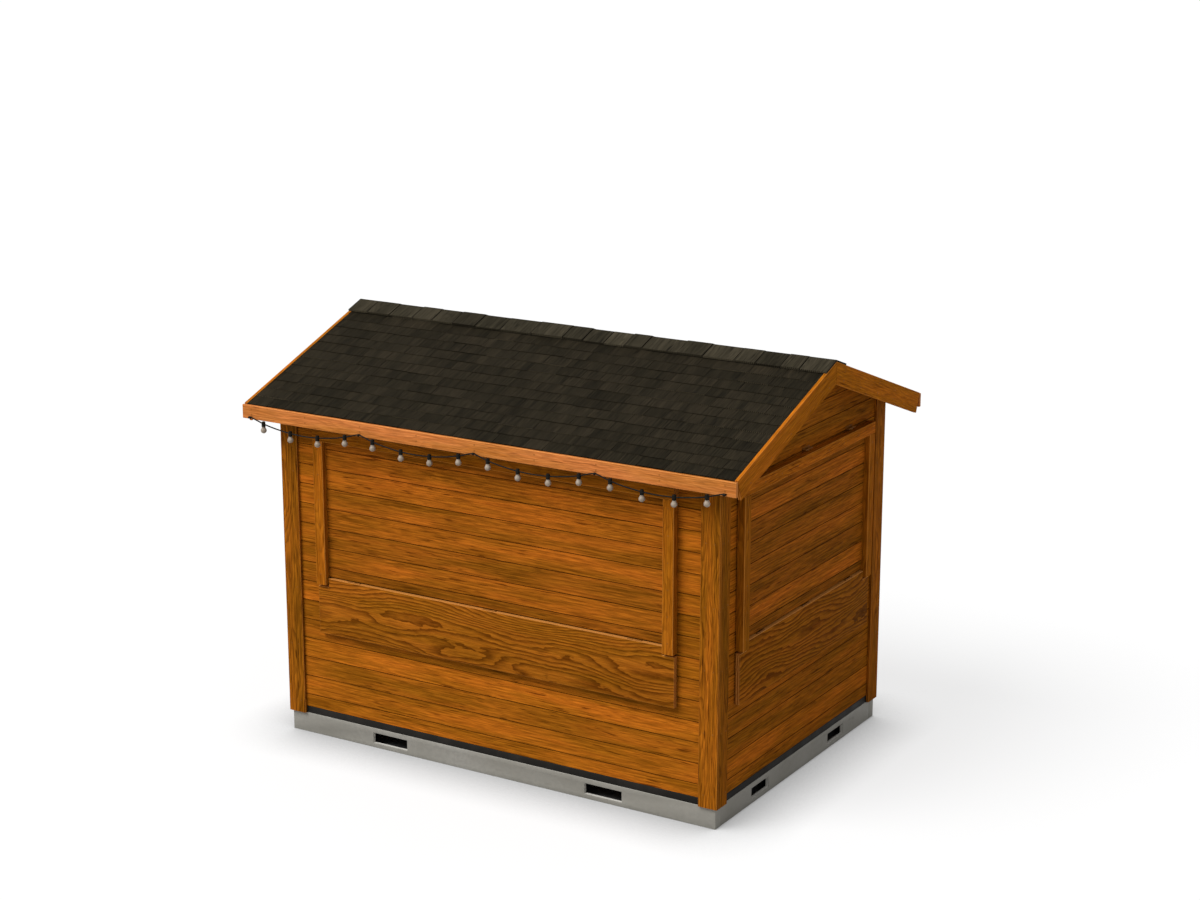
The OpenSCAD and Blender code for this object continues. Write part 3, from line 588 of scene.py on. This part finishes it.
# Door: upright boards held by three ledges on the inside, in an opening with a planted
# lining, and a shelf in the corner beside it. Screwed pine throughout.
LEAF_HALF, LEAF_LOW, LEAF_TOP = 0.354, 0.173, 1.924
LEAF_BOARDS, LEAF_SLIT, LEAF_EDGE = 6, 0.0008, 0.003
LEDGE, LEDGE_HALF, LEDGE_BACK, LEDGE_EDGE = 0.1, 0.321, 0.052, 0.004
LINING_HALF, LINING_LOW, LINING_TOP, LINING_BACK = 0.393, 0.150, 1.995, 0.064
ledges = (LEAF_LOW + LEDGE, (LEAF_LOW + LEAF_TOP - LEDGE) / 2, LEAF_TOP - 2 * LEDGE)
rng = random.Random(51)
bm = timber()
step = 2 * LEAF_HALF / LEAF_BOARDS
for i in range(LEAF_BOARDS):
    x0 = -LEAF_HALF + i * step
    plank(bm, (x0 + LEAF_SLIT, 0, LEAF_LOW), (x0 + step - LEAF_SLIT, BOARD_THICK, LEAF_TOP), ALONG_Z,
          LEAF_EDGE, *pick(rng))
for z in ledges:
    plank(bm, (-LEDGE_HALF, BOARD_THICK, z), (LEDGE_HALF, LEDGE_BACK, z + LEDGE), ALONG_X, LEDGE_EDGE,
          *pick(rng), RUBBED_AND_HIGHLIT)
place(turned(bm, on_wall["left"]), "door_boards", "door", "wall_wood", hatch_wood, "door_leaf")
bm = timber()
for x0, x1 in ((-LINING_HALF, -DOOR_HALF), (DOOR_HALF, LINING_HALF)):
    plank(bm, (x0, WALL_THICK, LINING_LOW), (x1, LINING_BACK, DOOR_TOP - PLAY), ALONG_Z, TRIM_EDGE,
          *pick(rng), RUBBED_AND_HIGHLIT)
plank(bm, (-LINING_HALF, WALL_THICK, DOOR_TOP), (LINING_HALF, LINING_BACK, LINING_TOP), ALONG_X,
      TRIM_EDGE, *pick(rng), RUBBED_AND_HIGHLIT)
place(turned(bm, on_wall["left"]), "door_architrave", "stall", "wall_wood", trim_wood, "door_lining")
bm = timber()
low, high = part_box("corner_shelf")
middle = (low[1] + high[1]) / 2
plank(bm, low, (high[0], middle, high[2]), ALONG_X, TRIM_EDGE, *pick(rng))
plank(bm, (low[0], middle, low[2]), high, ALONG_X, TRIM_EDGE, *pick(rng))
place(bm, "shelf_boards", "stall", "wall_wood", trim_wood, "corner_shelf")

# Ironwork: strap hinges, three-knuckle hinges and a round pull of forged steel. The small
# hinges are painted the brown of the wood and the door's are black, worn in patches.
IRON_EDGE = 0.0005
DOOR_SIDE = -1.45


def painted_iron(name, coat, worn_to):
    """Forged steel under an uneven coat of paint."""
    made, tree, shader = finish(name)
    worn = clouds(tree, 55, 0.52, 0.66, 5)
    painted(tree, shader, between(tree, worn, tint(coat), tint(worn_to)),
            ranged(tree, worn, 0, 1, 0.42, 0.62))
    shader.inputs["Specular IOR Level"].default_value = 0.08
    raised(tree, shader, clouds(tree, 160, 0.3, 0.7, 3), 0.0003)
    return made


iron = painted_iron("hinge_steel", "7a4a16", "8f5a22")
door_iron = painted_iron("door_iron", "221d18", "453c32")
for node, name, body in (("hinge_plates", "fixed_hinges", "stall"),
                         ("front_hatch_hinges", "front_hatch_knuckles", "front_hatch"),
                         ("right_hatch_hinges", "right_hatch_knuckles", "right_hatch"),
                         ("front_counter_hinges", "front_counter_knuckles", "front_counter"),
                         ("right_counter_hinges", "right_counter_knuckles", "right_counter"),
                         ("door_hinges", "door_straps", "door"), ("door_handle", "door_pull", "door")):
    surface = door_iron if body == "door" else iron
    made = place(softened(node, IRON_EDGE, 1), name, body, "hinge_steel", surface, node)
    if node == "hinge_plates":
        made.data.materials.append(door_iron)
        for face in made.data.polygons:
            face.material_index = 1 if face.center.x < DOOR_SIDE else 0

# Roof boards: two panels of boards along the stall on battens, with a fascia along each
# eave and a barge board up each verge. Nailed pine; the edges are oiled brighter. The roof
# is drawn flat with its ridge along X, and S is a distance down the slope from there.
roof_wood = wood("roof_wood", "9d5c14", "744008", "3c1a02", "a06420", 0.15)
fascia_wood = wood("fascia_wood", "cd7f42", "b0642b", "6a3010", "d89050", 0.18, 1.4)
verge_wood = wood("verge_wood", "b86c16", "904e08", "4a2001", "c87c36", 0.20, 1.4)
RIDGE_Z = 2.46344
DECK_X, DECK_TOP_S, EAVE_S, DECK_THICK, DECK_BOARDS, DECK_SLIT = 1.647, 0.003, 1.2265, 0.019, 10, 0.0006
BATTEN_X, BATTEN_LOW, BATTEN_TOP, BATTEN_S = 1.378, -0.027, -0.0003, (0.013, 0.0605)
RAFTERS, RAFTER_X, RAFTER_HALF, RAFTER_S = 4, 1.333, 0.0225, (0.076, 1.016)
VERGE_X, VERGE_THICK, VERGE_LOW, VERGE_TOP, VERGE_S = 1.667, 0.020, -0.093, 0.032, 1.2235
VERGE_GAP, PAST_RIDGE = 0.002, 0.05
on_slope = {"front": Matrix.Translation((0, 0, RIDGE_Z)) @ Matrix.Rotation(SLOPE, 4, "X")}
on_slope["rear"] = Matrix.Rotation(math.pi, 4, "Z") @ on_slope["front"]
MITRE = (0, math.cos(SLOPE), -math.sin(SLOPE))
for side, seed in (("front", 61), ("rear", 62)):
    rng = random.Random(seed)
    bm = timber()
    step = (EAVE_S - DECK_TOP_S) / DECK_BOARDS
    for i in range(DECK_BOARDS):
        s = DECK_TOP_S + i * step
        plank(bm, (-DECK_X, -s - step + DECK_SLIT, 0), (DECK_X, -s - DECK_SLIT, DECK_THICK), ALONG_X,
              TRIM_EDGE, *pick(rng))
    place(turned(bm, on_slope[side]), side + "_roof_boards", "roof", "roof_wood", roof_wood, side + "_deck")
rng = random.Random(63)
bm = timber()
for side in ("front", "rear"):
    old = set(bm.verts)
    plank(bm, (-BATTEN_X, -BATTEN_S[1], BATTEN_LOW), (BATTEN_X, -BATTEN_S[0], BATTEN_TOP), ALONG_X,
          TRIM_EDGE, *pick(rng))
    for i in range(RAFTERS):
        x = -RAFTER_X + i * 2 * RAFTER_X / (RAFTERS - 1)
        plank(bm, (x - RAFTER_HALF, -RAFTER_S[1], BATTEN_LOW),
              (x + RAFTER_HALF, -RAFTER_S[0], BATTEN_TOP), ALONG_Y, TRIM_EDGE, *pick(rng))
    turned(bm, on_slope[side], old)
place(bm, "roof_underframe", "roof", "roof_wood", roof_wood, "roof_battens")
bm = timber()
fascia_low, fascia_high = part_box("eave_fascias")
for y0, y1 in ((fascia_low[1], fascia_low[1] + VERGE_THICK), (fascia_high[1] - VERGE_THICK, fascia_high[1])):
    plank(bm, (fascia_low[0], y0, fascia_low[2]), (fascia_high[0], y1, fascia_high[2]), ALONG_X, TRIM_EDGE,
          *pick(rng), RUBBED_AND_HIGHLIT)
place(bm, "eave_boards", "roof", "roof_wood", fascia_wood, "eave_fascias")
bm = timber()
for side in ("front", "rear"):
    old = set(bm.verts)
    for x0 in (-VERGE_X, DECK_X):
        plank(bm, (x0, -VERGE_S, VERGE_LOW), (x0 + VERGE_THICK, PAST_RIDGE, VERGE_TOP), ALONG_Y, TRIM_EDGE,
              *pick(rng), RUBBED_AND_HIGHLIT)
    sawn_off(bm, old, (0, -VERGE_GAP * math.cos(SLOPE), 0), MITRE)
    turned(bm, on_slope[side], old)
place(bm, "verge_boards", "roof", "roof_wood", verge_wood, "barge_boards")

# Shingles: split wooden shingles stained nearly black, laid in lapped courses with
# uneven widths and butts, and a row of saddle pieces along the ridge. Nailed.
shingle_wood = wood("shingle", "2b261c", "191610", "090806", "5e5646", 0.20, 2.0, 0.8, 0.18)
ridge_wood = wood("ridge_shingle", "3d382c", "242018", "0b0a07", "4c4638", 0.30, 2.0, 0.9, 0.30)
SHINGLE_X, SHINGLE_SLIT, SHINGLE_WIDTHS, NARROW_SHINGLE = DECK_X - 0.001, 0.0012, (0.09, 0.26), 0.07
FIRST_COURSE_S, LAST_COURSE_S, LOWEST_S, HIGHEST_S = 1.223, 0.10, 1.224, 0.012
SHINGLE_LENGTH, EXPOSURE, RAGGED = 0.20, 0.092, 0.004
BUTT_THICK, BUTT_LIFT, BUTT_CURL, HEAD_LOW, HEAD_HIGH = 0.006, 0.0045, 0.0012, 0.0005, 0.0025
SADDLE_WIDTHS, NARROW_SADDLE, SADDLE_THICKS, SADDLE_GAP = (0.11, 0.24), 0.08, (0.009, 0.014), 0.0003
SADDLE_S, SADDLE_SLIT, SADDLE_EDGE = 0.1222, 0.002, 0.0012


def row(rng, half, widths, narrowest):
    """The two ends of each of a row of pieces of uneven width, side by side."""
    x = -half
    while x < half - 1e-6:
        width = min(rng.uniform(*widths), half - x)
        if half - x - width < narrowest:
            width = half - x
        yield x, x + width
        x += width


def shingle(bm, x0, x1, butt, head, lift, rng):
    """A tapered shingle on the slope, thick at its lower edge."""
    faces = plank(bm, (x0, -butt, 0), (x1, -head, BUTT_THICK), ALONG_Y, 0, *pick(rng))
    # The shingle's end faces take the paler Ends colour at a random strength: weathering, and a painted
    # highlight on the lit butts.
    weathered_and_highlit = rng.random() ** 2
    for face in faces:
        face[bm.faces.layers.float["cut"]] *= weathered_and_highlit
    for v in {v for f in faces for v in f.verts}:
        top = v.co.z > BUTT_THICK / 2
        if v.co.y < -butt + 1e-5:
            v.co.z = DECK_THICK + lift + (BUTT_THICK if top else 0.0)
        else:
            v.co.z = DECK_THICK + (HEAD_HIGH if top else HEAD_LOW)


for side, seed in (("front", 71), ("rear", 72)):
    rng = random.Random(seed)
    bm = timber()
    s = FIRST_COURSE_S
    while s > LAST_COURSE_S:
        for x0, x1 in row(rng, SHINGLE_X, SHINGLE_WIDTHS, NARROW_SHINGLE):
            butt = min(s + rng.uniform(-RAGGED, RAGGED), LOWEST_S)
            shingle(bm, x0 + SHINGLE_SLIT, x1 - SHINGLE_SLIT, butt, max(s - SHINGLE_LENGTH, HIGHEST_S),
                    BUTT_LIFT + rng.uniform(0, BUTT_CURL), rng)
        s -= EXPOSURE
    place(turned(bm, on_slope[side]), side + "_shingle_courses", "roof", "shingle", shingle_wood,
          side + "_shingles")
rng = random.Random(73)
bm = timber()
saddles = [(x0 + SADDLE_SLIT, x1 - SADDLE_SLIT, rng.uniform(*SADDLE_THICKS), rng.uniform(-RAGGED, 0))
           for x0, x1 in row(rng, VERGE_X, SADDLE_WIDTHS, NARROW_SADDLE)]
for side in ("front", "rear"):
    old = set(bm.verts)
    for x0, x1, thick, shorter in saddles:
        ends = (x0, x1) if side == "front" else (-x1, -x0)
        plank(bm, (ends[0], -SADDLE_S - shorter, VERGE_TOP), (ends[1], PAST_RIDGE, VERGE_TOP + thick),
              ALONG_Y, SADDLE_EDGE, *pick(rng))
    sawn_off(bm, old, (0, -SADDLE_GAP, 0), MITRE)
    turned(bm, on_slope[side], old)
place(bm, "ridge_saddles", "roof", "shingle", ridge_wood, "ridge_cap")

# Screws: countersunk heads, painted over with the ironwork, in rows along the trims, rails,
# frames, door ledges, fascias and barge boards. Driven flush, so only their heads show.
HEAD_SIDES, HEAD_FOOT, HEAD_RIM, HEAD_DEPTH = 10, 0.0052, 0.0042, 0.0012
SLOT_INSET, SLOT_DEPTH = 0.0022, 0.0008


def screws(bm, spot, places, outward=(0, -1, 0)):
    """Round heads with a sunk middle on a plane, at places given before the turn to spot."""
    turn = Vector(outward).to_track_quat("Z", "Y").to_matrix().to_4x4()
    out = spot.to_3x3() @ Vector(outward)
    for at in places:
        verts = bmesh.ops.create_cone(bm, cap_ends=True, segments=HEAD_SIDES, radius1=HEAD_FOOT,
                                      radius2=HEAD_RIM, depth=HEAD_DEPTH,
                                      matrix=spot @ Matrix.Translation(at) @ turn)["verts"]
        faces = dict.fromkeys(f for v in verts for f in v.link_faces)
        caps = [f for f in faces if len(f.verts) == HEAD_SIDES]
        for face in caps:
            face.normal_update()
        top = max(caps, key=lambda f: f.calc_center_median().dot(out))
        bmesh.ops.inset_individual(bm, faces=[top], thickness=SLOT_INSET, depth=-SLOT_DEPTH)


TRIM_FACE, HEAD_BOARD_Z = TRIM_Y - FACE_Y, 1.920
trim_rows = [0.20 + i * 0.366 for i in range(6)]
stile_rows = [1.06 + i * 0.155 for i in range(6)]
rail_spots = [(-1.32 + i * 0.44, -TRIM_FACE, z) for i in range(7) for z in (2.012, 2.064)]
bm = bmesh.new()
for side, outer, inner in (("front", 1.468, 1.412), ("rear", 1.468, 1.412), ("right", 1.0, 0.946),
                           ("left", 1.0, 0.946)):
    columns = (-outer, -inner, inner, outer)
    screws(bm, on_wall[side], [(x, -TRIM_FACE, z) for x in columns for z in trim_rows])
for side in ("front", "rear"):
    screws(bm, on_wall[side], rail_spots)
screws(bm, on_wall["rear"], [(x, -FRAME_THICK, z) for x in (-0.674, 0.674) for z in stile_rows])
screws(bm, on_wall["rear"], [(x, -FRAME_THICK, z) for x in (-0.45, 0, 0.45) for z in (1.035, HEAD_BOARD_Z)])
place(bm, "wall_screws", "stall", "hinge_steel", iron)
for side in ("front", "right"):
    bm = bmesh.new()
    middle, face_y = HATCH_HALF[side] - STILE / 2, -HATCH_OFF - FRAME_THICK
    screws(bm, on_wall[side], [(x, face_y, z) for x in (-middle, middle) for z in stile_rows])
    screws(bm, on_wall[side], [(middle * i / 4, face_y, HEAD_BOARD_Z) for i in range(-4, 5)])
    place(bm, side + "_hatch_screws", side + "_hatch", "hinge_steel", iron)
bm = bmesh.new()
screws(bm, on_wall["left"], [(-0.295 + i * 0.118, 0, z + up) for i in range(6) for z in ledges
                             for up in (0.03, 0.07)])
place(bm, "door_screws", "door", "hinge_steel", iron)
bm = bmesh.new()
for spot, out in ((Matrix.Identity(4), fascia_low[1]), (Matrix.Rotation(math.pi, 4, "Z"), -fascia_high[1])):
    screws(bm, spot, [(-1.6 + i * 0.4, out, fascia_high[2] - down) for i in range(9)
                      for down in (0.022, 0.055)])
verge_spots = [(-0.12 - i * 0.245, z) for i in range(5) for z in (-0.06, -0.005)]
for side in ("front", "rear"):
    for x in (-1, 1):
        screws(bm, on_slope[side], [(x * VERGE_X, y, z) for y, z in verge_spots], (x, 0, 0))
place(bm, "roof_screws", "roof", "hinge_steel", iron)

# Light string: a black rubber cord in four swags along the front fascia, held by five
# clips, with sixteen moulded lamp holders and frosted, pear-shaped bulbs screwed into them.
rubber, tree, shader = finish("black_rubber")
bloom = clouds(tree, 45, 0.40, 0.75, 4)
painted(tree, shader, between(tree, bloom, tint("0e0c09"), tint("1a1712")),
        ranged(tree, bloom, 0, 1, 0.45, 0.68))
shader.inputs["Specular IOR Level"].default_value = 0.08
raised(tree, shader, clouds(tree, 500, 0.3, 0.7, 2), 0.0002)
frosted, tree, shader = finish("lamp_glass")
cloudy = clouds(tree, 30, 0.35, 0.7, 3)
painted(tree, shader, between(tree, cloudy, tint("968878"), tint("ac9d8c")),
        ranged(tree, cloudy, 0, 1, 0.30, 0.44))
shader.inputs["Transmission Weight"].default_value = 0.25
shader.inputs["IOR"].default_value = 1.45
raised(tree, shader, clouds(tree, 300, 0.3, 0.7, 2), 0.0002)

CORD_X, CORD_Y, CLIP_Z, SWAG, SWAGS, CORD_RADIUS = 1.6, -1.196, 2.0019, 0.8, 4, 0.004
drops = [(0, 0), (15, -1), (30, -5), (60, -14), (100, -26), (160, -39), (230, -50), (300, -58), (350, -61),
         (400, -62), (450, -61), (500, -58), (570, -50), (640, -39), (700, -26), (740, -14), (770, -5),
         (785, -1)]
lamp_drops = [(100, -26), (300, -58), (500, -58), (700, -26)]


def hung(points):
    """Points given in millimetres from a swag's first clip, in every swag of the string."""
    return [(-CORD_X + i * SWAG + x / 1000, CORD_Y, CLIP_Z + z / 1000) for i in range(SWAGS)
            for x, z in points]


route = hung(drops) + [(CORD_X, CORD_Y, CLIP_Z)]
curve = bpy.data.curves.new("light_string_cord", "CURVE")
curve.dimensions = "3D"
curve.bevel_depth = CORD_RADIUS
curve.bevel_resolution = 4
curve.use_fill_caps = True
spline = curve.splines.new("BEZIER")
spline.bezier_points.add(len(route) - 1)
for point, co in zip(spline.bezier_points, route):
    point.co = co
    point.handle_left_type = point.handle_right_type = "AUTO"
spline.resolution_u = 3
curve.materials.append(rubber)
string = bpy.data.objects.new("light_string_cord", curve)
bpy.context.scene.collection.objects.link(string)
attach(string, "roof")
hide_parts("light_cord")


def turn_up(bm, profile, centre, steps):
    """A shape turned about an upright axis from a profile of radius and height."""
    ring = [bm.verts.new((centre[0] + r, centre[1], centre[2] + z)) for r, z in profile]
    edges = [bm.edges.new(pair) for pair in zip(ring, ring[1:])]
    bmesh.ops.spin(bm, geom=ring + edges, cent=centre, axis=(0, 0, 1), angle=math.tau, steps=steps,
                   use_merge=True)


GLOBE, GLOBE_Z = 0.0180, -0.0395
arc = [math.radians(40 - 13 * i) for i in range(10)]
bulb = [(0, -0.0165), (0.0102, -0.0165), (0.0108, -0.0205), (0.0123, -0.0245)]
bulb += [(GLOBE * math.cos(a), GLOBE_Z + GLOBE * math.sin(a)) for a in arc] + [(0, GLOBE_Z - GLOBE)]
holder = [(0, 0.014), (0.0085, 0.014), (0.0106, 0.012), (0.0114, 0.006), (0.0114, -0.002),
          (0.0126, -0.004), (0.0126, -0.007), (0.0115, -0.008), (0.0115, -0.013),
          (0.0124, -0.0145), (0.0124, -0.016), (0, -0.016)]
holders, bulbs = bmesh.new(), bmesh.new()
for lamp in hung(lamp_drops):
    turn_up(holders, holder, lamp, 20)
    turn_up(bulbs, bulb, lamp, 24)
for bm in (holders, bulbs):
    bmesh.ops.remove_doubles(bm, verts=bm.verts, dist=1e-6)
    bmesh.ops.recalc_face_normals(bm, faces=bm.faces)
holder_set = place(holders, "lamp_sockets", "roof", "black_rubber", rubber, "lamp_holders")
bulb_set = place(bulbs, "lamp_globes", "roof", "lamp_glass", frosted, "lamp_bulbs")
clip_set = place(softened("cord_clips", 0.0006), "cord_saddles", "roof", "black_rubber", rubber,
                 "cord_clips")

# Studio: a wide pale floor, a soft key light from the front left and above, and an even
# white surround. Floor and surround show as white paper; the floor carries a painted contact
# shade near the stall and a painted dark shadow under it.
FLOOR_HALF, UNDER_X, UNDER_Y = 200, 1.47, 1.01
SURROUND, WHITE = 0.50, 1.0


def looked_at(tree):
    """A mask for what the camera sees, straight or by metal and glass."""
    rays = add(tree, "ShaderNodeLightPath", {}).outputs
    mask = sums(tree, "MAXIMUM", rays["Is Camera Ray"], rays["Is Glossy Ray"])
    return sums(tree, "MAXIMUM", mask, rays["Is Transmission Ray"])


mesh = bpy.data.meshes.new("studio_floor")
bm = bmesh.new()
bmesh.ops.create_grid(bm, x_segments=1, y_segments=1, size=FLOOR_HALF)
bm.to_mesh(mesh)
bm.free()
paper, tree, shader = finish("studio_floor")
seen = looked_at(tree)
# Painted shade: the floor's colour and glow fall with ambient occlusion near the stall, and under its
# footprint the floor is coloured dark.
beside = ranged(tree, reach(tree, "DIVIDE", (UNDER_X, UNDER_Y, 1)), 0.98, 1.02)
open_air = add(tree, "ShaderNodeAmbientOcclusion", {"Distance": 0.45}, samples=4).outputs["AO"]
outside_painted_shade = sums(tree, "MULTIPLY", beside, open_air)
paper_tone = between(tree, outside_painted_shade, (0.07, 0.07, 0.07, 1), (0.20, 0.20, 0.20, 1))
paper_tone = between(tree, seen, (0.46, 0.46, 0.46, 1), paper_tone)
tree.links.new(paper_tone, shader.inputs["Base Color"])
glow = sums(tree, "MULTIPLY", sums(tree, "MULTIPLY", seen, outside_painted_shade), 0.74)
tree.links.new(glow, shader.inputs["Emission Strength"])
shader.inputs["Emission Color"].default_value = (1, 1, 1, 1)
shader.inputs["Roughness"].default_value = 1.0
shader.inputs["Specular IOR Level"].default_value = 0.0
mesh.materials.append(paper)
studio_floor = bpy.data.objects.new("studio_floor", mesh)
bpy.context.scene.collection.objects.link(studio_floor)
studio_floor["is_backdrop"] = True
sun = bpy.data.lights.new("key_light", "SUN")
sun.energy = 3.6
sun.angle = math.radians(35)
key = bpy.data.objects.new("key_light", sun)
key.rotation_euler = Vector((-0.32, -0.52, 0.79)).to_track_quat("Z", "Y").to_euler()
bpy.context.scene.collection.objects.link(key)
world = bpy.data.worlds.new("surround")
world.use_nodes = True
tree = world.node_tree
background = tree.nodes["Background"]
tree.links.new(ranged(tree, looked_at(tree), 0, 1, SURROUND, WHITE), background.inputs["Strength"])
background.inputs["Color"].default_value = (1, 1, 1, 1)
bpy.context.scene.world = world
bpy.context.scene.view_settings.view_transform = "Standard"

low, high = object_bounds()
